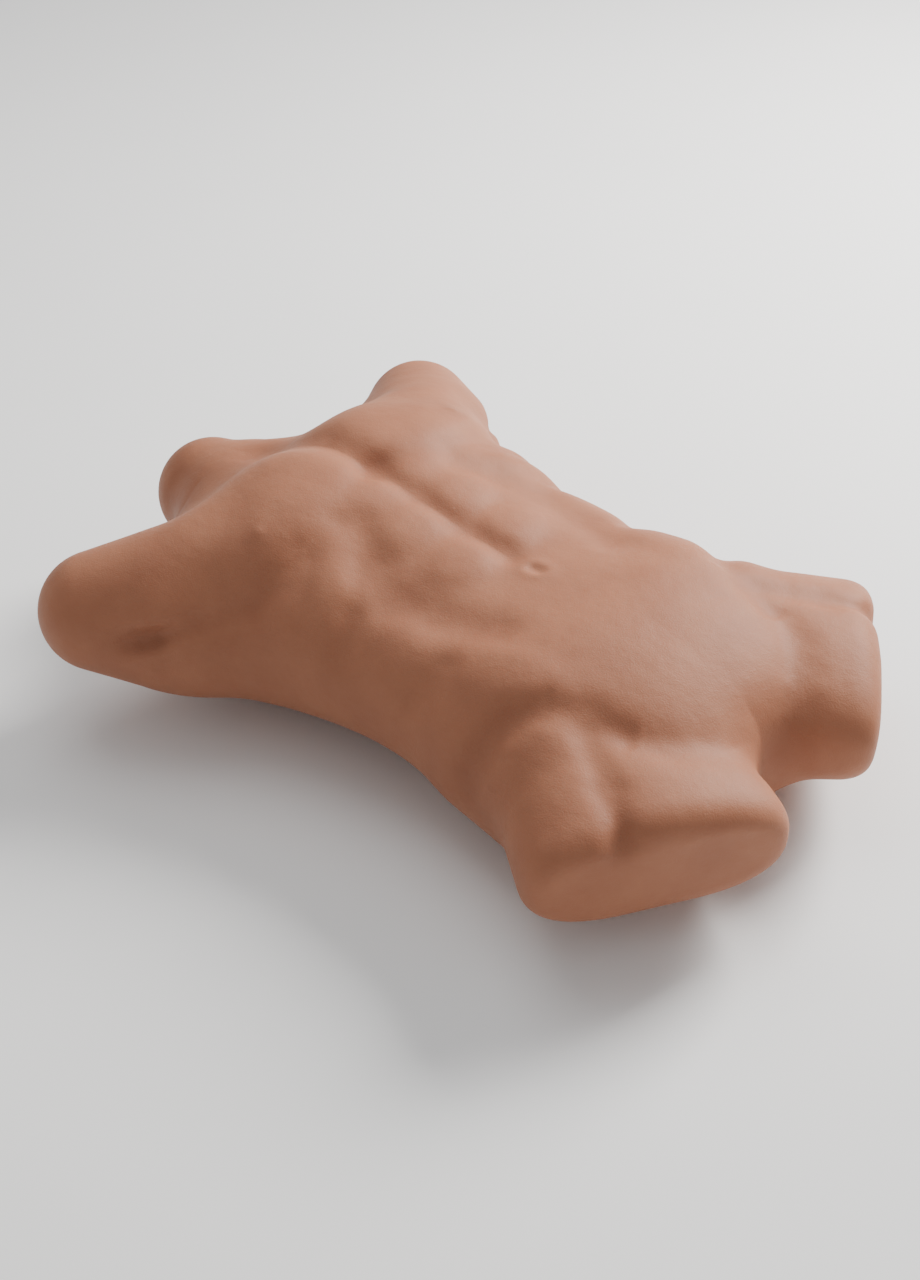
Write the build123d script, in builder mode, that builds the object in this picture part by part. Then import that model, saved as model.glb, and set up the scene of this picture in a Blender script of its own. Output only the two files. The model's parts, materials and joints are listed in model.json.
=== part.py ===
from build123d import *

import math
import os

# Headless torso mannequin, lying on its back: an elastomer skin over a foam core with a jointed steel frame.
#
# Millimetres. +X is the mannequin's left, +Y runs to its neck, and +Z comes up out of its chest.
# The origin is on the floor, under the middle of the body.
# The pelvis carries the chest on the waist hinge, and the chest carries an arm stump on each shoulder hinge.

# ---- soft body ----------------------------------------------------------------------------------------
SKIN = 12.0  # thickness of the moulded skin
GAP = 0.5  # space between the soft parts of two bodies
REACH = 500.0  # longer than the body in every direction

# Trunk sections from the crotch to the neck: y, half width, front height, back height.
TRUNK = [
    (-266, 38, 104, 36),
    (-248, 72, 128, 16),
    (-222, 108, 146, 0),
    (-186, 138, 155, -6),
    (-146, 144, 157, -6),
    (-100, 139, 154, 2),
    (-50, 134, 153, 12),
    (0, 136, 161, 13),
    (50, 148, 174, 6),
    (92, 156, 183, -2),
    (130, 158, 184, -6),
    (164, 152, 172, -6),
    (196, 124, 152, 3),
    (222, 82, 134, 22),
    (242, 50, 120, 38),
]
SQUARE = 2.3  # exponent of the rounded sections; 2 would be an ellipse
SECTION_POINTS = 16

CHEST_MUSCLE = (62, 128, 140)  # middle of the left chest muscle
CHEST_MUSCLE_R = (78, 58, 51)

FRAME_Z = 82.0  # height of the spine and of the waist and shoulder hinges
WAIST_Y = -30.0  # waist hinge, which turns about X
WAIST_R = 82.0  # radius of the soft waist joint

SHOULDER_X, SHOULDER_Y = 143.0, 165.0  # left shoulder hinge, which turns about Z
SHOULDER_R = 67.0  # radius of the soft shoulder joint
SHOULDER_SWING = 20.0  # degrees each way
WAIST_SWING = 25.0  # degrees, bending the chest up from lying flat

ARM_Z = 95.0  # height of the arm stump's middle
ARM_ANGLE = 45.0  # direction of the arm stump, from +X towards +Y
ARM_LENGTH = 50.0  # from the shoulder to the centre of its round end
ARM_R, ARM_END_R = 62.0, 44.0
ARM_ZONE = (-40.0, 104.0)  # angles about the shoulder that belong to the arm, out past its joint

SLOPE_START, SLOPE_END = (30, 222, 84), (102, 188, 86)  # slope from neck to left shoulder
SLOPE_R = (40.0, 34.0)
NECK_START, NECK_END = (0, 205, 82), (0, 273, 80)
NECK_R = (54.0, 43.0)

HIP_X, HIP_Y, HIP_Z = 70.0, -190.0, 72.0
THIGH_ANGLE = 34.0  # splay of the thigh stump, from -Y towards +X
# Thigh sections along the stump: distance from the hip, half width, half height.
THIGH = [(-45, 74, 60), (0, 86, 64), (45, 90, 56), (80, 92, 49), (94, 87, 43), (103, 74, 33)]

# ---- steel frame --------------------------------------------------------------------------------------
RUN = 0.05  # radial clearance of a pin or rod in its hole
EASE = 0.2  # clearance of the foam round the frame
STEM_ROOM = 125.0  # how far the room for the pelvis tube runs on from it, out through the waist joint
SWING_EASE = 2.0  # clearance of the foam round a part that swings
SWING_SPARE = 5.0  # degrees beyond the swing

TUBE_R, TUBE_BORE = 12.5, 9.5
ROD_R, ROD_BORE = 10.0, 7.5
EAR_IN, EAR_OUT = 8.0, 14.0  # faces of a fork's ears, from its middle
TANG = 6.0  # half thickness of the tang between the ears
EYE_R = 13.0  # round end of ears and tangs
FORK_BASE = (28.0, 16.0)  # ends of the block behind the ears, from the hinge
TANG_END = 24.0  # where the tang has run into its tube, from the hinge
TUBE_START = 18.0  # where the tube behind a tang starts, from the hinge

PIN_R = 5.0
HEAD_R, HEAD_H, HEAD_EDGE = 8.5, 6.4, 1.0
NUT_FLATS, NUT_H = 16.0, 8.0
PIN_END = 1.5  # thread past the nut
WASHER_R, WASHER_T = 10.0, 1.9
WELL_R, WELL_HALF = 28.0, 26.0  # room in the foam round a hinge

HUB = (56.0, 38.0)  # width and thickness of the cross fitting of spine, shoulder bars and neck post
HUB_CORNER = 6.0
HUB_SOCKET = 14.0  # how far each tube goes into it
NECK_POST_END = 262.0
NECK_DISC_R, ARM_DISC_R, THIGH_DISC_R = 24.0, 16.0, 24.0
DISC_T, DISC_EDGE = 6.0, 1.5
ARM_ROD_SPAN = (18.0, 54.0)

CROSS_Y, CROSS_Z = -182.0, 76.0  # bar between the thigh sockets
CROSS_HALF = 62.0
SOCKET_R = 13.5
SOCKET_SPAN = (-20.0, 24.0)  # along the thigh, from the hip
THIGH_ROD_SPAN = (-12.0, 76.0)
CLAMP_AT = 10.0
CLAMP_R, CLAMP_HEAD_R, CLAMP_HEAD_H = 3.0, 5.0, 4.0


# ---- planes and directions ----------------------------------------------------------------------------
def direction(angle):
    """Unit vector level with the floor, at this angle from +X towards +Y."""
    return Vector(math.cos(math.radians(angle)), math.sin(math.radians(angle)), 0)


SHOULDER = Vector(SHOULDER_X, SHOULDER_Y, FRAME_Z)
HIP = Vector(HIP_X, HIP_Y, HIP_Z)
ARM_DIRECTION = direction(ARM_ANGLE)
THIGH_DIRECTION = direction(THIGH_ANGLE - 90)


def trunk_plane(y):
    """Plane square to the body's length, facing the neck, with local x along -X and local y along +Z."""
    return Plane(origin=(0, y, 0), x_dir=(-1, 0, 0), z_dir=(0, 1, 0))


def spine_plane(y):
    """The same plane with its origin on the spine."""
    return Plane(origin=(0, y, FRAME_Z), x_dir=(-1, 0, 0), z_dir=(0, 1, 0))


def side_plane(x):
    """Plane square to X with its origin on the waist hinge; local x is +Y and local y is +Z."""
    return Plane(origin=(x, WAIST_Y, FRAME_Z), x_dir=(0, 1, 0), z_dir=(1, 0, 0))


def thigh_plane(distance):
    """Plane square to the left thigh stump, facing its end, with local y along +Z."""
    return Plane(origin=HIP + THIGH_DIRECTION * distance, x_dir=direction(THIGH_ANGLE), z_dir=THIGH_DIRECTION)


def arm_plane(distance):
    """Plane square to the left arm stump, facing its end, at the height of the hinge."""
    return Plane(origin=SHOULDER + ARM_DIRECTION * distance, x_dir=(0, 0, 1), z_dir=ARM_DIRECTION)


# ---- shapes of the soft body, each shrunk by inset ----------------------------------------------------
def rounded_outline(half_width, half_height, middle):
    """Points of a softly squared oval."""
    points = []
    for step in range(SECTION_POINTS):
        angle = 2 * math.pi * step / SECTION_POINTS
        c, s = math.cos(angle), math.sin(angle)
        x = math.copysign(abs(c) ** (2 / SQUARE), c) * half_width
        y = math.copysign(abs(s) ** (2 / SQUARE), s) * half_height
        points.append((x, middle + y))
    return points


def trunk_shape(inset):
    """Trunk from crotch to neck."""
    first, last = TRUNK[0][0] + inset, TRUNK[-1][0] - inset
    with BuildPart() as shape:
        for y, half_width, front, back in TRUNK:
            with BuildSketch(trunk_plane(min(max(y, first), last))):
                with BuildLine():
                    half_height = (front - back) / 2 - inset
                    Spline(*rounded_outline(half_width - inset, half_height, (front + back) / 2), periodic=True)
                make_face()
        loft()
    return shape.part


def thigh_shape(inset):
    """Left thigh stump."""
    shrink = 1 - inset / THIGH[-1][0]
    with BuildPart() as shape:
        for distance, half_width, half_height in THIGH:
            with BuildSketch(thigh_plane(distance * shrink if distance > 0 else distance)):
                with BuildLine():
                    Spline(*rounded_outline(half_width - inset, half_height - inset, 0), periodic=True)
                make_face()
        loft()
    return shape.part


def round_cone(start, end, start_r, end_r):
    """Tapered bar with a round cap at each end."""
    run = Vector(end) - Vector(start)
    lean = math.degrees(math.acos((start_r - end_r) / run.length))
    with BuildPart() as shape:
        with BuildSketch(Plane(origin=start, x_dir=run, z_dir=run.cross(Vector(0, 0, 1)))):
            with BuildLine():
                near = CenterArc((0, 0), start_r, 180, lean - 180)
                far = CenterArc((run.length, 0), end_r, lean, -lean)
                Line(near @ 1, far @ 0)
                Line(far @ 1, near @ 0)
            make_face()
        revolve(axis=Axis(start, run))
    return shape.part


def chest_muscle(inset):
    """Left chest muscle, an ellipsoid."""
    with BuildPart() as shape:
        Sphere(1)
    radii = tuple(r - inset for r in CHEST_MUSCLE_R)
    return scale(shape.part, by=radii).moved(Location(CHEST_MUSCLE))


def body_shape(inset):
    """The whole soft body, flat where it lies on the floor."""
    shoulder = Vector(SHOULDER_X, SHOULDER_Y, ARM_Z)
    left_side = [
        thigh_shape(inset),
        round_cone(shoulder, shoulder + ARM_DIRECTION * ARM_LENGTH, ARM_R - inset, ARM_END_R - inset),
        round_cone(SLOPE_START, SLOPE_END, SLOPE_R[0] - inset, SLOPE_R[1] - inset),
        chest_muscle(inset),
    ]
    with BuildPart() as shape:
        add(trunk_shape(inset))
        add(round_cone(NECK_START, NECK_END, NECK_R[0] - inset, NECK_R[1] - inset))
        for piece in left_side:
            add(piece)
            add(mirror(piece, about=Plane.YZ))
        split(bisect_by=Plane.XY.offset(inset), keep=Keep.TOP)
    return shape.part


# ---- zones of the moving bodies -----------------------------------------------------------------------
def chest_zone(extra):
    """Everything above the waist hinge, with a drum about it."""
    with BuildPart() as zone:
        with BuildSketch(side_plane(-REACH / 2)):
            Circle(WAIST_R + extra)
            Rectangle(REACH, REACH, align=(Align.MIN, Align.CENTER))
        extrude(amount=REACH)
    return zone.part


def arm_zone(extra):
    """A drum about the left shoulder hinge, and everything outboard of it."""
    with BuildPart() as zone:
        with BuildSketch(Plane(origin=(SHOULDER_X, SHOULDER_Y, -REACH / 2))):
            Circle(SHOULDER_R + extra)
            with BuildLine():
                first = direction(ARM_ZONE[0]) * REACH
                middle = direction(sum(ARM_ZONE) / 2) * REACH
                last = direction(ARM_ZONE[1]) * REACH
                Polyline((0, 0), (first.X, first.Y), (middle.X, middle.Y), (last.X, last.Y), close=True)
            make_face()
        extrude(amount=REACH)
    return zone.part


# ---- parts of the steel frame -------------------------------------------------------------------------
# Each part of a hinge is drawn on a plane whose origin is on the hinge, whose normal is the pin, and
# whose local x runs away from the fork's own tube.
def bar(plane, radius, length, bore=0.0):
    """Round bar, or a tube if it has a bore, standing on a plane."""
    with BuildPart() as shape:
        with BuildSketch(plane):
            Circle(radius)
            if bore:
                Circle(bore, mode=Mode.SUBTRACT)
        extrude(amount=length)
    return shape.part


def fork(middle):
    """Two ears and the block behind them."""
    base_start, base_end = FORK_BASE
    with BuildPart() as shape:
        for side in (1, -1):
            with BuildSketch(middle.offset(side * EAR_IN)):
                Circle(EYE_R)
                with Locations((-base_end / 2, 0)):
                    Rectangle(base_end, 2 * EYE_R)
            extrude(amount=side * (EAR_OUT - EAR_IN))
        with BuildSketch(middle.offset(-EAR_OUT)):
            with Locations((-(base_start + base_end) / 2, 0)):
                Rectangle(base_start - base_end, 2 * EYE_R)
        extrude(amount=2 * EAR_OUT)
    return shape.part


def tang(middle, half_width):
    """The flat end that turns between the ears."""
    with BuildPart() as shape:
        with BuildSketch(middle.offset(-TANG)):
            Circle(EYE_R)
            with Locations((TANG_END / 2, 0)):
                Rectangle(TANG_END, 2 * half_width)
        extrude(amount=2 * TANG)
    return shape.part


def pin_room(middle):
    """Space of the pin through ears and tang."""
    return bar(middle.offset(-EAR_OUT), PIN_R + RUN, 2 * EAR_OUT)


def hinge_bolt(middle):
    """Bolt with a round socket head."""
    with BuildPart() as bolt:
        add(bar(middle.offset(EAR_OUT), HEAD_R, HEAD_H))
        fillet(bolt.faces().sort_by(Axis(middle.origin, middle.z_dir))[-1].edges(), HEAD_EDGE)
        add(bar(middle.offset(-EAR_OUT - NUT_H - PIN_END), PIN_R, 2 * EAR_OUT + NUT_H + PIN_END))
        with BuildSketch(middle.offset(EAR_OUT + HEAD_H)):
            RegularPolygon(PIN_R, 6)
        extrude(amount=-HEAD_H / 2, mode=Mode.SUBTRACT)
    return bolt.part


def hinge_nut(middle):
    """Hexagon nut against the far ear."""
    with BuildPart() as nut:
        with BuildSketch(middle.offset(-EAR_OUT)):
            RegularPolygon(NUT_FLATS / 2, 6, major_radius=False)
            Circle(PIN_R + RUN, mode=Mode.SUBTRACT)
        extrude(amount=-NUT_H)
    return nut.part


def hinge_washer(middle, side):
    """Washer between the tang and the ear on one side."""
    slack = (EAR_IN - TANG - WASHER_T) / 2
    return bar(middle.offset(side * (TANG + slack)), WASHER_R, side * WASHER_T, PIN_R + RUN)


def end_disc(plane, radius):
    """Rounded disc that spreads the load at the end of a post or rod."""
    with BuildPart() as disc:
        add(bar(plane, radius, DISC_T))
        fillet(disc.edges(), DISC_EDGE)
    return disc.part


def swing_room(middle, towards, swing):
    """Well round a hinge in the foam, with a slot for a fork that swings through these angles."""
    half = EAR_OUT + SWING_EASE
    runs = [Vector(1, 0, 0).rotate(Axis.Z, towards + angle) for angle in swing]
    sides = [runs[0].rotate(Axis.Z, -90) * half, runs[1].rotate(Axis.Z, 90) * half]
    corners = [sides[0], sides[0] + runs[0] * REACH, sides[1] + runs[1] * REACH, sides[1]]
    with BuildPart() as room:
        add(bar(middle.offset(-WELL_HALF), WELL_R, 2 * WELL_HALF))
        with BuildSketch(middle.offset(-half)):
            with BuildLine():
                Polyline(*[(corner.X, corner.Y) for corner in corners], close=True)
            make_face()
        extrude(amount=2 * half)
    return room.part


def clamp_screw(plane):
    """Screw through socket and thigh rod, its head on the front of the socket."""
    with BuildPart() as screw:
        add(bar(plane.offset(SOCKET_R), CLAMP_HEAD_R, CLAMP_HEAD_H))
        add(bar(plane.offset(-ROD_R), CLAMP_R, ROD_R + SOCKET_R))
        with BuildSketch(plane.offset(SOCKET_R + CLAMP_HEAD_H)):
            RegularPolygon(CLAMP_R, 6)
        extrude(amount=-CLAMP_HEAD_H / 2, mode=Mode.SUBTRACT)
    return screw.part


def save(shape, label):
    """Write one finished piece."""
    shape.label = label
    export_step(shape, f"parts/{label}.step")


def save_pair(shape, label):
    """Write a left piece and its mirror image."""
    save(shape, f"{label}_left")
    save(mirror(shape, about=Plane.YZ), f"{label}_right")


def both(shape):
    """A left shape and its mirror image."""
    return [shape, mirror(shape, about=Plane.YZ)]


os.makedirs("parts", exist_ok=True)

WAIST_PLANE = side_plane(0)
SHOULDER_PLANE = Plane(origin=SHOULDER)
ARM_TANG_PLANE = Plane(origin=SHOULDER, x_dir=ARM_DIRECTION, z_dir=(0, 0, 1))
CROSS_PLANE = Plane(origin=(-CROSS_HALF, CROSS_Y, CROSS_Z), x_dir=(0, 1, 0), z_dir=(1, 0, 0))
BAR_PLANE = Plane(origin=(0, SHOULDER_Y, FRAME_Z), x_dir=(0, 1, 0), z_dir=(1, 0, 0))
CLAMP_PLANE = Plane(origin=HIP + THIGH_DIRECTION * CLAMP_AT)

HUB_HALF = HUB[0] / 2
SPINE_START, SPINE_END = WAIST_Y + TUBE_START, SHOULDER_Y - HUB_HALF + HUB_SOCKET
NECK_POST_START = SHOULDER_Y + HUB_HALF - HUB_SOCKET
BAR_START, BAR_END = HUB_HALF - HUB_SOCKET, SHOULDER_X - FORK_BASE[0]
STEM_START = WAIST_Y - FORK_BASE[0]
ARM_ROD_START, ARM_ROD_END = ARM_ROD_SPAN

# ---- spine and neck -----------------------------------------------------------------------------------
with BuildPart() as spine_tube:
    add(bar(spine_plane(SPINE_START), TUBE_R, SPINE_END - SPINE_START, TUBE_BORE))
    add(tang(WAIST_PLANE, TUBE_R))
    add(pin_room(WAIST_PLANE), mode=Mode.SUBTRACT)
save(spine_tube.part, "spine_tube")
save(bar(spine_plane(NECK_POST_START), TUBE_R, NECK_POST_END - NECK_POST_START, TUBE_BORE), "neck_post")
save(end_disc(spine_plane(NECK_POST_END), NECK_DISC_R), "neck_disc")

# ---- shoulders and arms -------------------------------------------------------------------------------
with BuildPart() as shoulder_hub:
    with BuildSketch(Plane(origin=(0, SHOULDER_Y, FRAME_Z - HUB[1] / 2))):
        RectangleRounded(HUB[0], HUB[0], HUB_CORNER)
    extrude(amount=HUB[1])
    for plane in (BAR_PLANE, spine_plane(SHOULDER_Y)):
        for side in (1, -1):
            add(bar(plane.offset(side * HUB_HALF), TUBE_R + RUN, -side * HUB_SOCKET), mode=Mode.SUBTRACT)
save(shoulder_hub.part, "shoulder_hub")

with BuildPart() as shoulder_bar:
    add(bar(BAR_PLANE.offset(BAR_START), TUBE_R, BAR_END - BAR_START, TUBE_BORE))
    add(fork(SHOULDER_PLANE))
    add(pin_room(SHOULDER_PLANE), mode=Mode.SUBTRACT)
save_pair(shoulder_bar.part, "shoulder_bar")

with BuildPart() as arm_rod:
    add(bar(arm_plane(ARM_ROD_START), ROD_R, ARM_ROD_END - ARM_ROD_START))
    add(tang(ARM_TANG_PLANE, ROD_R))
    add(pin_room(SHOULDER_PLANE), mode=Mode.SUBTRACT)
save_pair(arm_rod.part, "arm_rod")
save_pair(end_disc(arm_plane(ARM_ROD_END), ARM_DISC_R), "arm_disc")

# ---- pelvis frame and thighs --------------------------------------------------------------------------
thigh_bore = bar(thigh_plane(THIGH_ROD_SPAN[0]), ROD_R + RUN, REACH)
clamp_bore = bar(CLAMP_PLANE.offset(-REACH / 2), CLAMP_R + RUN, REACH)
with BuildPart() as pelvis_frame:
    add(fork(WAIST_PLANE))
    add(bar(spine_plane(STEM_START), TUBE_R, CROSS_Y - STEM_START))
    add(bar(CROSS_PLANE, TUBE_R, 2 * CROSS_HALF))
    add(both(bar(thigh_plane(SOCKET_SPAN[0]), SOCKET_R, SOCKET_SPAN[1] - SOCKET_SPAN[0])))
    add(both(thigh_bore), mode=Mode.SUBTRACT)
    add(both(clamp_bore), mode=Mode.SUBTRACT)
    add(bar(spine_plane(STEM_START), TUBE_BORE, CROSS_Y - 2 * TUBE_R - STEM_START), mode=Mode.SUBTRACT)
    add(pin_room(WAIST_PLANE), mode=Mode.SUBTRACT)
save(pelvis_frame.part, "pelvis_frame")

with BuildPart() as thigh_rod:
    rod_length = THIGH_ROD_SPAN[1] - THIGH_ROD_SPAN[0]
    add(bar(thigh_plane(THIGH_ROD_SPAN[0]), ROD_R, rod_length, ROD_BORE))
    add(clamp_bore, mode=Mode.SUBTRACT)
save_pair(thigh_rod.part, "thigh_rod")
save_pair(end_disc(thigh_plane(THIGH_ROD_SPAN[1]), THIGH_DISC_R), "thigh_disc")
save_pair(clamp_screw(CLAMP_PLANE), "thigh_clamp_screw")

# ---- hinge hardware -----------------------------------------------------------------------------------
save(hinge_bolt(WAIST_PLANE), "waist_bolt")
save(hinge_nut(WAIST_PLANE), "waist_nut")
save(hinge_washer(WAIST_PLANE, 1), "waist_washer_left")
save(hinge_washer(WAIST_PLANE, -1), "waist_washer_right")
save_pair(hinge_bolt(SHOULDER_PLANE), "shoulder_bolt")
save_pair(hinge_nut(SHOULDER_PLANE), "shoulder_nut")
save_pair(hinge_washer(SHOULDER_PLANE, 1), "shoulder_washer_front")
save_pair(hinge_washer(SHOULDER_PLANE, -1), "shoulder_washer_back")

# ---- room for the frame in the foam -------------------------------------------------------------------
with BuildPart() as pelvis_room:
    add(bar(spine_plane(STEM_START + STEM_ROOM), TUBE_R + EASE, CROSS_Y - STEM_START - STEM_ROOM))
    add(bar(CROSS_PLANE, TUBE_R + EASE, 2 * CROSS_HALF))
    left_thigh_room = [
        bar(thigh_plane(SOCKET_SPAN[0] - EASE), SOCKET_R + EASE, SOCKET_SPAN[1] - SOCKET_SPAN[0] + 2 * EASE),
        bar(thigh_plane(0), ROD_R + EASE, THIGH_ROD_SPAN[1]),
        bar(thigh_plane(THIGH_ROD_SPAN[1] - EASE), THIGH_DISC_R + EASE, DISC_T + 2 * EASE),
        bar(CLAMP_PLANE, CLAMP_HEAD_R + EASE, SOCKET_R + CLAMP_HEAD_H + EASE),
    ]
    for room in left_thigh_room:
        add(both(room))

with BuildPart() as chest_room:
    add(bar(spine_plane(WAIST_Y), TUBE_R + EASE, NECK_POST_END - WAIST_Y))
    add(bar(spine_plane(NECK_POST_END - EASE), NECK_DISC_R + EASE, DISC_T + 2 * EASE))
    add(bar(BAR_PLANE.offset(-SHOULDER_X), TUBE_R + EASE, 2 * SHOULDER_X))
    with BuildSketch(Plane(origin=(0, SHOULDER_Y, FRAME_Z - HUB[1] / 2 - EASE))):
        Rectangle(HUB[0] + 2 * EASE, HUB[0] + 2 * EASE)
    extrude(amount=HUB[1] + 2 * EASE)
    add(swing_room(WAIST_PLANE, 180, (-WAIST_SWING - SWING_SPARE, SWING_SPARE)))

with BuildPart() as arm_room:
    add(bar(arm_plane(0), ROD_R + EASE, ARM_ROD_END))
    add(bar(arm_plane(ARM_ROD_END - EASE), ARM_DISC_R + EASE, DISC_T + 2 * EASE))
    swing = SHOULDER_SWING + SWING_SPARE
    add(swing_room(SHOULDER_PLANE, 180, (-swing, swing)))

# ---- skin and foam ------------------------------------------------------------------------------------
outer, inner = body_shape(0), body_shape(SKIN)
left_arm_zone = arm_zone(0)
not_chest = both(arm_zone(GAP))

for label, shape in (("skin", outer), ("foam", inner)):
    with BuildPart() as pelvis_piece:
        add(shape)
        add(chest_zone(GAP), mode=Mode.SUBTRACT)
        add(inner if label == "skin" else pelvis_room.part, mode=Mode.SUBTRACT)
    save(pelvis_piece.part, f"pelvis_{label}")

    with BuildPart() as chest_piece:
        add(shape)
        add(chest_zone(0), mode=Mode.INTERSECT)
        add(not_chest, mode=Mode.SUBTRACT)
        add(inner if label == "skin" else chest_room.part, mode=Mode.SUBTRACT)
    save(chest_piece.part, f"chest_{label}")

    with BuildPart() as arm_piece:
        add(shape)
        add(left_arm_zone, mode=Mode.INTERSECT)
        add(inner if label == "skin" else arm_room.part, mode=Mode.SUBTRACT)
    save_pair(arm_piece.part, f"arm_{label}")
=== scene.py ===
"""Headless torso mannequin on a pale floor: sculpted skin and foam round the CAD model's steel frame."""
import json
import math

import bpy
import numpy as np
import openvdb
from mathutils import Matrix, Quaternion, Vector


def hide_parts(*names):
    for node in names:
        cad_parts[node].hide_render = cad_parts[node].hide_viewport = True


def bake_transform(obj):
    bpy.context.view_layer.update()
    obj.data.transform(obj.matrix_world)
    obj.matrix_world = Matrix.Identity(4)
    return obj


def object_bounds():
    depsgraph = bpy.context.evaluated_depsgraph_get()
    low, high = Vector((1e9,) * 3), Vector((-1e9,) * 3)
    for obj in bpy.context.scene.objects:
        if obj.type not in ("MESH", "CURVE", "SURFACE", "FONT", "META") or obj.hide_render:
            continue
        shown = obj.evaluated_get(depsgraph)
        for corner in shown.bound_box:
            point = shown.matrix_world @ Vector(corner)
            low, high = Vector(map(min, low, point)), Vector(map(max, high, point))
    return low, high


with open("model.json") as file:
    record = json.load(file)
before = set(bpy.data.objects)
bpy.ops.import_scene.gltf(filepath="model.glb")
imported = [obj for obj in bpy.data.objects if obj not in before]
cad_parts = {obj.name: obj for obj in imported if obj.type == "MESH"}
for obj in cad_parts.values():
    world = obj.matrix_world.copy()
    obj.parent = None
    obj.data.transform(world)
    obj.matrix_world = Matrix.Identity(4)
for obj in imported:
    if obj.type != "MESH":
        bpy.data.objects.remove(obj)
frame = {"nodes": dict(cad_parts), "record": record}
cad_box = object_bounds()

MM = 0.001  # the sculpt is worked out in millimetres, in the model's own frame

# ---- camera -------------------------------------------------------------------------------------------
CAMERA_AZIMUTH, CAMERA_ELEVATION, CAMERA_ROLL = -47.09, 36.88, -3.30
CAMERA_DISTANCE, CAMERA_LENS = 1.385, 51.33
CAMERA_TARGET = Vector((0, 0, 0.07))
CAMERA_SHIFT = (-0.0014, -0.0131)


def add_camera():
    """Camera beyond the thighs, on the body's right side, looking down at the chest."""
    azimuth, elevation = math.radians(CAMERA_AZIMUTH), math.radians(CAMERA_ELEVATION)
    level = math.cos(elevation)
    back = Vector((math.sin(azimuth) * level, -math.cos(azimuth) * level, math.sin(elevation)))
    camera = bpy.data.objects.new("camera", bpy.data.cameras.new("camera"))
    camera.data.lens = CAMERA_LENS
    camera.data.shift_x, camera.data.shift_y = CAMERA_SHIFT
    camera.location = CAMERA_TARGET + back * CAMERA_DISTANCE
    camera.rotation_mode = "QUATERNION"
    roll = Quaternion((0, 0, 1), math.radians(CAMERA_ROLL))
    camera.rotation_quaternion = (-back).to_track_quat("-Z", "Y") @ roll
    bpy.context.scene.collection.objects.link(camera)
    bpy.context.scene.camera = camera


# ---- body measures ------------------------------------------------------------------------------------
# Trunk sections from the crotch to the neck: y, half width, front height, back height, squareness.
TRUNK = [
    (-268, 46, 108, 24, 2.1),
    (-250, 72, 125, 8, 2.1),
    (-222, 104, 141, 2, 2.15),
    (-188, 134, 151, -4, 2.2),
    (-150, 145, 156, -6, 2.4),
    (-110, 145, 154, 0, 2.4),
    (-70, 138, 152, 10, 2.3),
    (-30, 137, 155, 14, 2.3),
    (10, 141, 163, 12, 2.3),
    (50, 147, 173, 6, 2.3),
    (90, 154, 180, 0, 2.3),
    (130, 156, 180, -4, 2.3),
    (164, 151, 170, -4, 2.3),
    (195, 126, 151, 4, 2.3),
    (220, 84, 134, 22, 2.2),
    (240, 52, 120, 40, 2.1),
]
TRUNK_END_ROUND = 22
SHOULDER, ARM_TIP = (143, 165, 94), (180, 203, 97)
ARM_R, ARM_TIP_R = 62, 46
SLOPE = ((30, 222, 82), (112, 190, 86), 38, 33)
NECK = ((0, 212, 84), (0, 274, 82), 55, 46)
HIP = (67, -192, 74)
THIGH_ANGLE = 34.0  # splay, from -Y towards +X
THIGH_LENGTH = 105
THIGH_WIDTH, THIGH_HEIGHT = (84, 93), (59, 43)  # half sizes at the hip and at the cut
THIGH_SQUARE = 2.5
CUT_LEAN = -0.08  # the cut looks slightly down
CUT_ROUND = 24
THIGH_START, THIGH_START_ROUND = -60, 40  # where the stump begins inside the pelvis
BUTTOCK = ((60, -186, 50), (70, 78, 56))
FLOOR_ROUND = 8  # rounding where the back lies flat
# Widths over which the parts of the body flow into the trunk.
ARM_FLOW, SLOPE_FLOW, LIMB_FLOW = 36, 30, 24
# A section's middle and its far field are too steep or too flat for a distance, so it is scaled within these.
SCALE_LIMITS = (20, 200)
TRUNK_STEEPNESS = 0.93
SMALLEST = 1e-6  # keeps divisions off zero


# ---- shape functions ----------------------------------------------------------------------------------
def along_stations(x, xs, ys):
    """Smooth curve through the stations, xs rising."""
    slope = np.gradient(ys, xs)
    x = np.clip(x, xs[0], xs[-1])
    i = np.clip(np.searchsorted(xs, x) - 1, 0, len(xs) - 2)
    h = xs[i + 1] - xs[i]
    t = (x - xs[i]) / h
    t2, t3 = t * t, t * t * t
    start = (2 * t3 - 3 * t2 + 1) * ys[i] + (t3 - 2 * t2 + t) * h * slope[i]
    end = (3 * t2 - 2 * t3) * ys[i + 1] + (t3 - t2) * h * slope[i + 1]
    return start + end


def join(a, b, k):
    """Union of two distances, blended over a width k."""
    h = np.clip(0.5 + 0.5 * (b - a) / k, 0, 1)
    return b * (1 - h) + a * h - k * h * (1 - h)


def cut(a, b, k):
    """Intersection of two distances, with an edge rounded over k."""
    return -join(-a, -b, k)


def turned(p, centre, turn):
    """Points about a centre, in axes turned about Z by this angle."""
    q = p - np.array(centre, float)
    c, s = math.cos(math.radians(turn)), math.sin(math.radians(turn))
    return np.stack([q[..., 0] * c + q[..., 1] * s, q[..., 1] * c - q[..., 0] * s, q[..., 2]], -1)


def ellipsoid(p, centre, radii):
    """Distance from an ellipsoid."""
    q, r = p - np.array(centre, float), np.array(radii, float)
    k0 = np.linalg.norm(q / r, axis=-1)
    k1 = np.linalg.norm(q / (r * r), axis=-1)
    return k0 * (k0 - 1) / np.maximum(k1, 1e-9)


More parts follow.
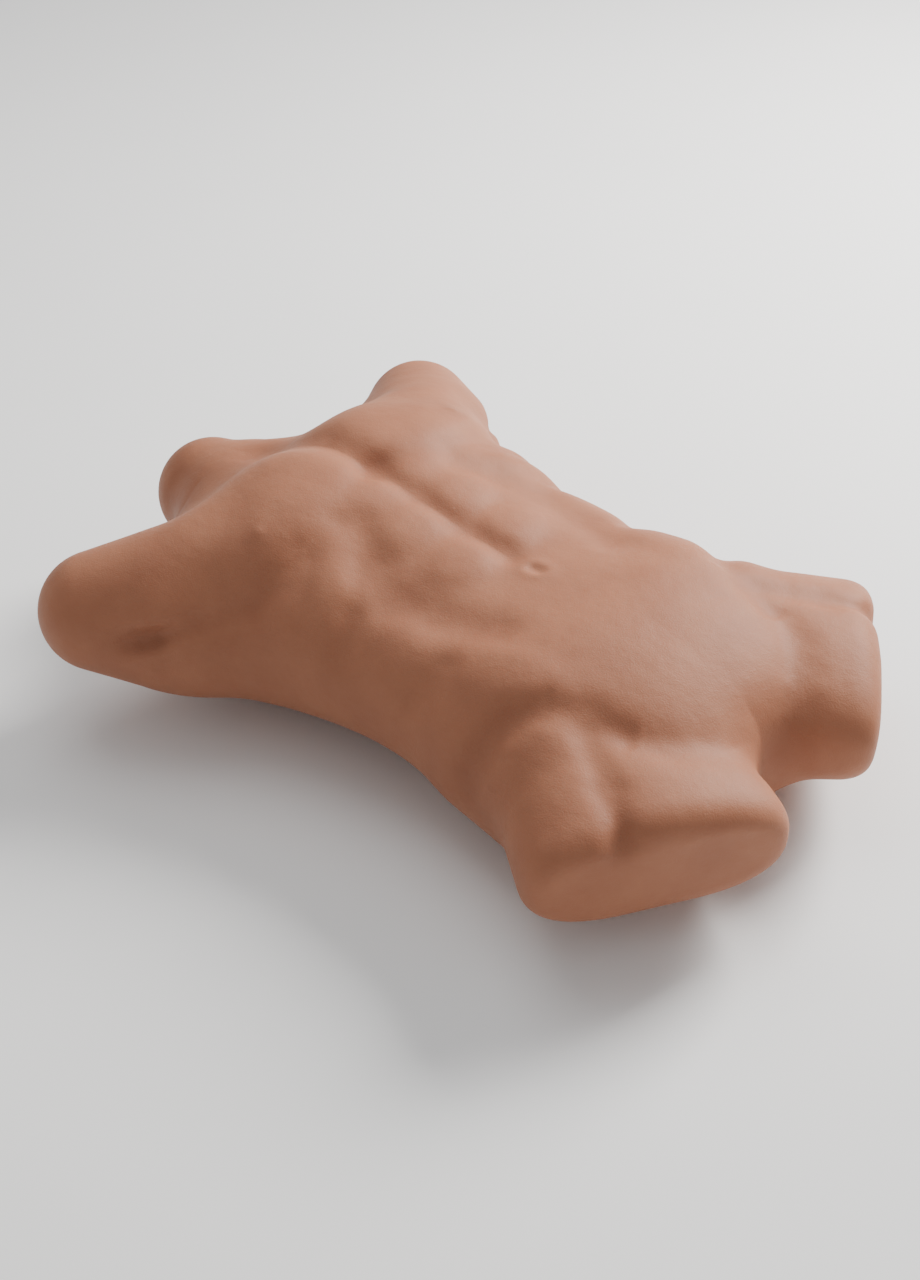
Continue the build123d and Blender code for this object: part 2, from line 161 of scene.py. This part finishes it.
def cone(p, start, end, start_r, end_r):
    """Distance from a tapered bar whose sides run smoothly into its round ends."""
    start, run = np.array(start, float), np.array(end, float) - np.array(start, float)
    length = np.linalg.norm(run)
    q = p - start
    along = q @ run / length
    out = np.sqrt(np.maximum((q ** 2).sum(-1) - along ** 2, 0))
    taper = (start_r - end_r) / length
    slant = math.sqrt(1 - taper ** 2)
    side = along * slant - out * taper
    first = np.hypot(out, along) - start_r
    last = np.hypot(out, along - length) - end_r
    flank = out * slant + along * taper - start_r
    return np.where(side < 0, first, np.where(side > slant * length, last, flank))


def swelling(p, centre, radii, height, soft, turn=0.0):
    """Height of a flat-topped swelling with a soft edge, such as a muscle."""
    q = np.linalg.norm(turned(p, centre, turn) / np.array(radii, float), axis=-1)
    return height * 0.5 * (1 - np.tanh((q - 1) / soft))


def crease(p, points, width, depth):
    """Depth of a soft groove along a line of points."""
    nearest = None
    for a, b in zip(points[:-1], points[1:]):
        a, run = np.array(a, float), np.array(b, float) - np.array(a, float)
        t = np.clip(((p - a) @ run) / (run @ run), 0, 1)
        d = np.linalg.norm(p - (a + t[..., None] * run), axis=-1)
        nearest = d if nearest is None else join(nearest, d, width * 0.8)
    return depth * np.exp(-((np.maximum(nearest, 0) / width) ** 2))


def trunk(p):
    """Distance from the trunk."""
    ys, widths, fronts, backs, squares = np.array(TRUNK, float).T
    y = p[..., 1]
    width, front = along_stations(y, ys, widths), along_stations(y, ys, fronts)
    back, square = along_stations(y, ys, backs), along_stations(y, ys, squares)
    middle, half = (front + back) / 2, (front - back) / 2
    u, v = np.abs(p[..., 0]) / width, np.abs(p[..., 2] - middle) / half
    q = np.maximum((u ** square + v ** square) ** (1 / square), SMALLEST)
    reach = np.hypot(p[..., 0], p[..., 2] - middle)
    side = (q - 1) * np.clip(reach / q, *SCALE_LIMITS) * TRUNK_STEEPNESS
    return cut(side, np.maximum(ys[0] - y, y - ys[-1]), TRUNK_END_ROUND)


def thigh(p):
    """Distance from the left thigh stump, which has a flat cut with a rounded edge."""
    angle = math.radians(THIGH_ANGLE)
    run = np.array([math.sin(angle), -math.cos(angle), 0])
    side = np.array([math.cos(angle), math.sin(angle), 0])
    q = p - np.array(HIP, float)
    along, across, up = q @ run, q @ side, q[..., 2]
    t = np.clip(along / THIGH_LENGTH, -0.6, 1.1)
    width = THIGH_WIDTH[0] + (THIGH_WIDTH[1] - THIGH_WIDTH[0]) * t
    height = THIGH_HEIGHT[0] + (THIGH_HEIGHT[1] - THIGH_HEIGHT[0]) * t
    u, v = np.abs(across) / width, np.abs(up) / height
    s = (u ** THIGH_SQUARE + v ** THIGH_SQUARE) ** (1 / THIGH_SQUARE)
    s = np.maximum(s, SMALLEST)
    d = (s - 1) * np.clip(np.hypot(across, up) / s, *SCALE_LIMITS)
    face = along - THIGH_LENGTH + up * CUT_LEAN
    d = cut(d, face, CUT_ROUND)
    return cut(d, THIGH_START - along, THIGH_START_ROUND)


# ---- surface features, on the left side unless they are on the midline --------------------------------
NIPPLE = (106, 95, 162)
NAVEL = (0, -72, 153)
CHEST_FOLD = [(12, 80, 175), (62, 66, 167), (96, 63, 161), (121, 63, 149), (142, 76, 133)]
ARMPIT_FOLD = [(142, 76, 133), (167, 106, 118), (193, 140, 106)]
GROIN = [(151, -128, 78), (139, -138, 110), (121, -149, 131), (104, -166, 141)]
GROIN_LOW = [(104, -166, 141), (93, -192, 139), (85, -218, 128)]
GROIN_END = [(85, -218, 128), (72, -246, 121), (54, -262, 120), (32, -276, 108), (8, -282, 90)]
THIGH_FOLD = [(104, -200, 136), (127, -234, 122), (148, -262, 106)]
BELLY_EDGE = [(52, 48, 168), (72, 18, 158), (84, -12, 149), (80, -50, 145), (66, -92, 148)]


def muscles(m, p):
    """How far the muscles and folds lift the surface; m is folded(p)."""
    lift = swelling(m, (74, 120, 168), (76, 56, 52), 9, 0.3, 14)  # chest muscle
    lift += swelling(m, (94, 92, 166), (44, 26, 40), 3, 0.5, 8)  # its lower, outer fullness
    lift -= crease(p, [(0, 214, 148), (0, 150, 184), (0, 88, 178)], 17, 6)  # hollow of the breastbone
    lift -= crease(m, CHEST_FOLD, 11, 3.2)
    lift -= crease(m, ARMPIT_FOLD, 8, 4)
    lift -= crease(m, [(184, 132, 108), (200, 146, 104)], 10, 6)  # armpit
    lift += swelling(m, (160, 92, 62), (22, 52, 38), 5, 0.5)  # broad back muscle below the armpit
    lift -= crease(p, [(0, 88, 176), (0, 40, 170), (0, -50, 157)], 10, 3.6)  # middle line of the belly
    for y, height in ((56, 2.5), (18, 5.5), (-30, 6)):
        lift += swelling(m, (29, y, 160), (25, 19, 30), height, 0.5, 8)  # belly muscles
    lift -= crease(m, BELLY_EDGE, 15, 3.6)
    lift += swelling(m, (106, 28, 142), (27, 14, 26), 3.6, 0.5, -30)  # ribs and the muscles on them
    lift += swelling(m, (124, 54, 130), (24, 11, 24), 2.4, 0.5, -30)
    lift += swelling(m, (109, -44, 130), (22, 27, 28), 4.4, 0.55, -20)
    lift -= crease(m, [(112, 6, 141), (134, -4, 120)], 11, 3)
    lift -= crease(m, [(108, -78, 134), (132, -70, 112)], 12, 3)
    lift += swelling(m, (96, -124, 138), (20, 46, 30), 4.0, 0.5, -8)  # ridge above the groin
    upper, lower = crease(m, GROIN, 12, 7), crease(m, GROIN_LOW, 13, 5.2)
    lift -= np.maximum(np.maximum(upper, lower), crease(m, GROIN_END, 14, 3.4))
    lift += swelling(m, (128, -192, 112), (34, 46, 34), 4, 0.6, 30)  # front of the thigh
    lift += swelling(m, (104, -262, 110), (28, 30, 26), 3.5, 0.65, 30)  # inner thigh
    lift -= crease(m, THIGH_FOLD, 11, 5)
    lift -= crease(p, [NAVEL, (0, NAVEL[1] - 5, NAVEL[2])], 5, 3)
    lift += swelling(p, (0, NAVEL[1] - 4, NAVEL[2]), (12, 14, 20), 1.4, 0.4)
    lift += swelling(m, NIPPLE, (5, 5, 12), 1.8, 0.4)
    lift += swelling(m, NIPPLE, (13, 13, 16), 0.8, 0.35)
    return lift


def back_shape(m, p):
    """How far the folds of the back and seat lift the surface."""
    lift = -crease(p, [(0, 190, 8), (0, 60, 4), (0, -60, 12), (0, -130, 2)], 14, 5)  # hollow of the spine
    lift += swelling(m, (78, 132, 2), (46, 60, 26), 4, 0.4, -12)  # shoulder blade
    lift -= crease(p, [(0, -176, -4), (0, -226, 0)], 12, 5)  # between the buttocks
    lift -= crease(m, [(60, -266, 26), (92, -256, 20), (128, -236, 32)], 10, 4)  # under the buttock
    return lift


def folded(p):
    """Points with the right side of the body folded over its left."""
    return np.stack([np.abs(p[..., 0]), p[..., 1], p[..., 2]], -1)


def body(p):
    """Distance from the body's surface."""
    m = folded(p)
    d = trunk(p)
    d = join(d, cone(m, SHOULDER, ARM_TIP, ARM_R, ARM_TIP_R), ARM_FLOW)
    d = join(d, cone(m, *SLOPE), SLOPE_FLOW)
    d = join(d, cone(p, *NECK), LIMB_FLOW)
    d = join(d, thigh(m), LIMB_FLOW)
    d = join(d, ellipsoid(m, *BUTTOCK), LIMB_FLOW)
    d = d - muscles(m, p) - back_shape(m, p)
    return cut(d, -p[..., 2], FLOOR_ROUND)


# ---- mesh ---------------------------------------------------------------------------------------------
SKIN_SPACING = 3.0  # distance between surface points
FOAM_SPACING = 7.0
FOAM_DEPTH = 13  # just under the skin, which is 12 thick
MARGIN = 12  # grid beyond the CAD box
PROJECTIONS = 3  # times that each point is moved onto the surface
FLATTEST = 0.05  # smallest squared slope that a move divides by


def gradient(p, step=0.5):
    """Slope of the distance at these points."""
    axes = np.eye(3) * step
    return np.stack([(body(p + a) - body(p - a)) / (2 * step) for a in axes], -1)


def sculpt(spacing, depth):
    """Points and quads of the whole surface at this depth below the skin's, with its normals."""
    low = np.array(cad_box[0]) / MM - MARGIN
    high = np.array(cad_box[1]) / MM + MARGIN
    axes = [np.arange(low[i], high[i] + spacing, spacing) for i in range(3)]
    distance = body(np.stack(np.meshgrid(*axes, indexing="ij"), -1)) + depth
    grid = openvdb.FloatGrid(background=2 * MARGIN)
    grid.copyFromArray(distance.astype(np.float32))
    points, _, quads = grid.convertToPolygons(0.0, 0.0)
    points = np.array(points, float) * spacing + low
    for _ in range(PROJECTIONS):
        slope = gradient(points)
        step = (body(points) + depth) / np.maximum((slope ** 2).sum(-1), FLATTEST)
        points -= slope * np.clip(step, -spacing / 2, spacing / 2)[:, None]
    normals = gradient(points)
    normals /= np.linalg.norm(normals, axis=1, keepdims=True)
    quads = np.array(quads)
    a, b, c, d = (points[quads[:, i]] for i in range(4))
    inward = (np.cross(c - a, d - b) * normals[quads[:, 0]]).sum(-1) < 0
    quads[inward] = quads[inward, ::-1]
    return points, quads, normals


# ---- pieces -------------------------------------------------------------------------------------------
# An arm piece starts where its blend starts, so that it meets the trunk piece without a step.
ARM_BLEND_ANGLE = 25.0  # direction in which the arm's blend runs, from +X towards +Y
ARM_BLEND = (-30, 44)  # from the shoulder, along that direction
FULL_SHADE_DEPTH = 9  # depth of a fold at which its painted shade is darkest
# share of the areolas' own darker colour, and share of the painted shade in the folds
RING_TONE, CREASE_SHADE_SHARE = 0.2, 0.4


def blend_line(side):
    """Ends of an arm's blend, in metres, and its direction; side is 1 on the left."""
    angle = math.radians(ARM_BLEND_ANGLE)
    run = np.array([side * math.cos(angle), math.sin(angle), 0])
    root = np.array([side * SHOULDER[0], SHOULDER[1], SHOULDER[2]], float)
    return [tuple((root + run * at) * MM) for at in ARM_BLEND]


def arm_share(points, side):
    """How far along an arm's blend each point is, 0 at its start."""
    start, end = (np.array(q) / MM for q in blend_line(side))
    run = end - start
    return (points - start) @ run / (run @ run)


def areola_and_crease_shade_share(points):
    """Share of the darker colour at each point: the areolas' own darker skin round the nipples, and painted
    shade in the navel and in the deep folds.
    """
    m = folded(points)
    ring = swelling(m, NIPPLE, (13, 13, 20), 1, 0.22)
    # painted shade, darker where the surface sinks into a fold or hollow
    crease_shade = np.clip(-(muscles(m, points) + back_shape(m, points)) / FULL_SHADE_DEPTH, 0, 1)
    return np.clip(RING_TONE * ring + CREASE_SHADE_SHARE * crease_shade, 0, 1)


def add_piece(name, points, quads, normals, material):
    """Smooth mesh object of some of the skin's quads."""
    used, index = np.unique(quads, return_inverse=True)
    faces = index.reshape(quads.shape)
    mesh = bpy.data.meshes.new(name)
    mesh.from_pydata((points[used] * MM).tolist(), [], faces.tolist())
    mesh.polygons.foreach_set("use_smooth", [True] * len(mesh.polygons))
    rest = mesh.attributes.new("rest_place", "FLOAT_VECTOR", "POINT")
    rest.data.foreach_set("vector", (points[used] * MM).astype(np.float32).ravel())
    # per-point share of the areolas' darker colour and of the painted fold shade
    areola_and_crease_shade = mesh.attributes.new("areola_and_crease_shade", "FLOAT", "POINT")
    areola_and_crease_shade.data.foreach_set("value", areola_and_crease_shade_share(points[used]).astype(np.float32))
    mesh.materials.append(material)
    mesh.update()
    mesh.normals_split_custom_set_from_vertices(normals[used].tolist())
    piece = bpy.data.objects.new(name, mesh)
    bpy.context.scene.collection.objects.link(piece)
    return piece


def add_layer(layer, material, spacing, depth):
    """One soft layer: the trunk with its thighs, and two arm stumps, each split off where its blend into the
    trunk starts.
    """
    points, quads, normals = sculpt(spacing, depth)
    # A quad belongs to an arm when all of its points are past the start of that arm's blend.
    arms = {side: (arm_share(points, side)[quads] > 0).all(axis=1) for side in (1, -1)}
    rest = ~(arms[1] | arms[-1])
    trunk_piece = add_piece(f"body_{layer}", points, quads[rest], normals, material)
    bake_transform(trunk_piece)
    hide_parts(f"pelvis_{layer}", f"chest_{layer}")
    for side, word in ((1, "left"), (-1, "right")):
        arm = add_piece(f"arm_stump_{layer}_{word}", points, quads[arms[side]], normals, material)
        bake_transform(arm)
        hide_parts(f"arm_{layer}_{word}")


# ---- materials ----------------------------------------------------------------------------------------
MIX_FIRST, MIX_SECOND, MIX_RESULT = 6, 7, 2  # the colour sockets of a Mix node


def new_material(name, roughness, metallic=0.0):
    """Material with its node tree, links and shader."""
    material = bpy.data.materials.new(name)
    material.use_nodes = True
    nodes, links = material.node_tree.nodes, material.node_tree.links
    shader = nodes["Principled BSDF"]
    shader.inputs["Roughness"].default_value = roughness
    shader.inputs["Metallic"].default_value = metallic
    return material, nodes, links, shader


def noise(nodes, links, place, scale, detail=3.0):
    """Noise texture at a place, in features per metre."""
    texture = nodes.new("ShaderNodeTexNoise")
    texture.inputs["Scale"].default_value = scale
    texture.inputs["Detail"].default_value = detail
    links.new(place, texture.inputs["Vector"])
    return texture.outputs["Fac"]


def mix(nodes, links, factor, first, second):
    """Colour between two colours, each a value or an output."""
    node = nodes.new("ShaderNodeMix")
    node.data_type = "RGBA"
    links.new(factor, node.inputs["Factor"])
    for socket, colour in ((node.inputs[MIX_FIRST], first), (node.inputs[MIX_SECOND], second)):
        if isinstance(colour, tuple):
            socket.default_value = (*colour, 1)
        else:
            links.new(colour, socket)
    return node.outputs[MIX_RESULT]


def spread(nodes, links, value, low, high):
    """Value stretched so that low becomes 0 and high becomes 1."""
    node = nodes.new("ShaderNodeMapRange")
    node.inputs["From Min"].default_value = low
    node.inputs["From Max"].default_value = high
    links.new(value, node.inputs["Value"])
    return node.outputs["Result"]


def bump(nodes, links, shader, heights):
    """Bumps one on top of the other, each a height output and its size in metres."""
    below = None
    for height, distance in heights:
        node = nodes.new("ShaderNodeBump")
        node.inputs["Distance"].default_value = distance
        links.new(height, node.inputs["Height"])
        if below:
            links.new(below, node.inputs["Normal"])
        below = node.outputs["Normal"]
    links.new(below, shader.inputs["Normal"])


SKIN_LIGHT, SKIN_DARK = (0.37, 0.152, 0.084), (0.32, 0.126, 0.069)
# colour of the areolas' darker skin, also used as painted shade in the folds
SKIN_AREOLA_AND_CREASE_SHADE = (0.18, 0.058, 0.030)


def elastomer():
    """Soft brown elastomer: slightly mottled, with a fine matt grain, darker skin round the nipples and
    painted shade in the deep folds.
    """
    material, nodes, links, shader = new_material("brown_elastomer", 0.58)
    place = nodes.new("ShaderNodeAttribute")
    place.attribute_name = "rest_place"
    areola_and_crease_shade = nodes.new("ShaderNodeAttribute")
    areola_and_crease_shade.attribute_name = "areola_and_crease_shade"
    vector = place.outputs["Vector"]
    mottle = spread(nodes, links, noise(nodes, links, vector, 22, 4), 0.3, 0.7)
    speckle = spread(nodes, links, noise(nodes, links, vector, 260, 2), 0.35, 0.65)
    colour = mix(nodes, links, mottle, SKIN_LIGHT, SKIN_DARK)
    fine = nodes.new("ShaderNodeMath")
    fine.operation = "MULTIPLY"
    fine.inputs[1].default_value = 0.12
    links.new(speckle, fine.inputs[0])
    colour = mix(nodes, links, fine.outputs[0], colour, SKIN_DARK)
    # towards the areolas' darker skin, and painted shade in the folds and the navel
    colour = mix(nodes, links, areola_and_crease_shade.outputs["Fac"], colour, SKIN_AREOLA_AND_CREASE_SHADE)
    links.new(colour, shader.inputs["Base Color"])
    shader.inputs["Subsurface Weight"].default_value = 0.18
    shader.inputs["Subsurface Radius"].default_value = (1.0, 0.42, 0.25)
    shader.inputs["Subsurface Scale"].default_value = 0.006
    shader.inputs["Specular IOR Level"].default_value = 0.22
    grain = noise(nodes, links, vector, 900, 2)
    waves = noise(nodes, links, vector, 70, 3)
    bump(nodes, links, shader, ((waves, 0.0007), (grain, 0.00022)))
    return material


def object_place(nodes):
    """Place on a part, in metres."""
    return nodes.new("ShaderNodeTexCoord").outputs["Object"]


def foam():
    """Pale open-cell foam, with painted shade in its pores."""
    material, nodes, links, shader = new_material("foam", 0.95)
    cells = nodes.new("ShaderNodeTexVoronoi")
    cells.inputs["Scale"].default_value = 450
    links.new(object_place(nodes), cells.inputs["Vector"])
    # painted shade: each cell darker towards its sunken middle, in its pore
    pore_shade = spread(nodes, links, cells.outputs["Distance"], 0.1, 0.6)
    colour = mix(nodes, links, pore_shade, (0.42, 0.34, 0.20), (0.80, 0.74, 0.56))
    links.new(colour, shader.inputs["Base Color"])
    bump(nodes, links, shader, ((cells.outputs["Distance"], 0.0012),))
    return material


def powder_coat():
    """Satin black powder coat with an orange-peel surface."""
    material, nodes, links, shader = new_material("powder_coat", 0.42)
    place = object_place(nodes)
    wear = spread(nodes, links, noise(nodes, links, place, 60, 4), 0.3, 0.7)
    colour = mix(nodes, links, wear, (0.030, 0.030, 0.033), (0.05, 0.05, 0.055))
    links.new(colour, shader.inputs["Base Color"])
    bump(nodes, links, shader, ((noise(nodes, links, place, 900, 1), 0.0002),))
    return material


def zinc():
    """Zinc plating with a faint spangle."""
    material, nodes, links, shader = new_material("zinc_plate", 0.34, 1.0)
    place = object_place(nodes)
    spangle = spread(nodes, links, noise(nodes, links, place, 400, 2), 0.3, 0.7)
    links.new(mix(nodes, links, spangle, (0.60, 0.61, 0.60), (0.74, 0.75, 0.73)), shader.inputs["Base Color"])
    return material


def floor_finish():
    """Plain near-white floor."""
    material, nodes, links, shader = new_material("floor", 0.75)
    cloud = spread(nodes, links, noise(nodes, links, object_place(nodes), 3, 2), 0.2, 0.8)
    links.new(mix(nodes, links, cloud, (0.90, 0.90, 0.90), (0.925, 0.925, 0.925)), shader.inputs["Base Color"])
    return material


def dress_cad_parts():
    """Give each CAD part the material of its slot."""
    finishes = {"elastomer_skin": elastomer(), "foam_core": foam(), "frame_steel": powder_coat(),
                "zinc_fastener": zinc()}
    slots = {part["node"]: part["material_slot"] for part in frame["record"]["subparts"]}
    for node, obj in frame["nodes"].items():
        for i in range(len(obj.material_slots)):
            obj.material_slots[i].material = finishes[slots[node]]
    return finishes


# ---- floor and light ----------------------------------------------------------------------------------
FLOOR_SIZE = 60.0
WORLD_STRENGTH = 0.50
# Each light: name, place, size, power and colour.
LIGHTS = [
    ("key", (1.7, -0.35, 1.3), 0.9, 98, (1.0, 0.98, 0.95)),
    ("top", (0.3, 0.8, 2.2), 1.6, 15, (1, 1, 1)),
]


def add_floor():
    """Large level floor under the back."""
    mesh = bpy.data.meshes.new("floor")
    half = FLOOR_SIZE / 2
    corners = [(-half, -half, 0), (half, -half, 0), (half, half, 0), (-half, half, 0)]
    mesh.from_pydata(corners, [], [(0, 1, 2, 3)])
    mesh.materials.append(floor_finish())
    floor = bpy.data.objects.new("floor", mesh)
    bpy.context.scene.collection.objects.link(floor)


def add_light(name, place, size, power, colour):
    """Square soft light that looks at the body."""
    light = bpy.data.objects.new(name, bpy.data.lights.new(name, "AREA"))
    light.data.size, light.data.energy, light.data.color = size, power, colour
    light.location = place
    light.rotation_euler = (CAMERA_TARGET - Vector(place)).to_track_quat("-Z", "Y").to_euler()
    bpy.context.scene.collection.objects.link(light)


def add_world(strength):
    """Even white surroundings."""
    world = bpy.data.worlds.new("surroundings")
    world.use_nodes = True
    world.node_tree.nodes["Background"].inputs["Color"].default_value = (1, 1, 1, 1)
    world.node_tree.nodes["Background"].inputs["Strength"].default_value = strength
    bpy.context.scene.world = world


add_camera()
finishes = dress_cad_parts()
add_layer("skin", finishes["elastomer_skin"], SKIN_SPACING, 0)
add_layer("foam", finishes["foam_core"], FOAM_SPACING, FOAM_DEPTH)
add_floor()
add_world(WORLD_STRENGTH)
for light_measures in LIGHTS:
    add_light(*light_measures)
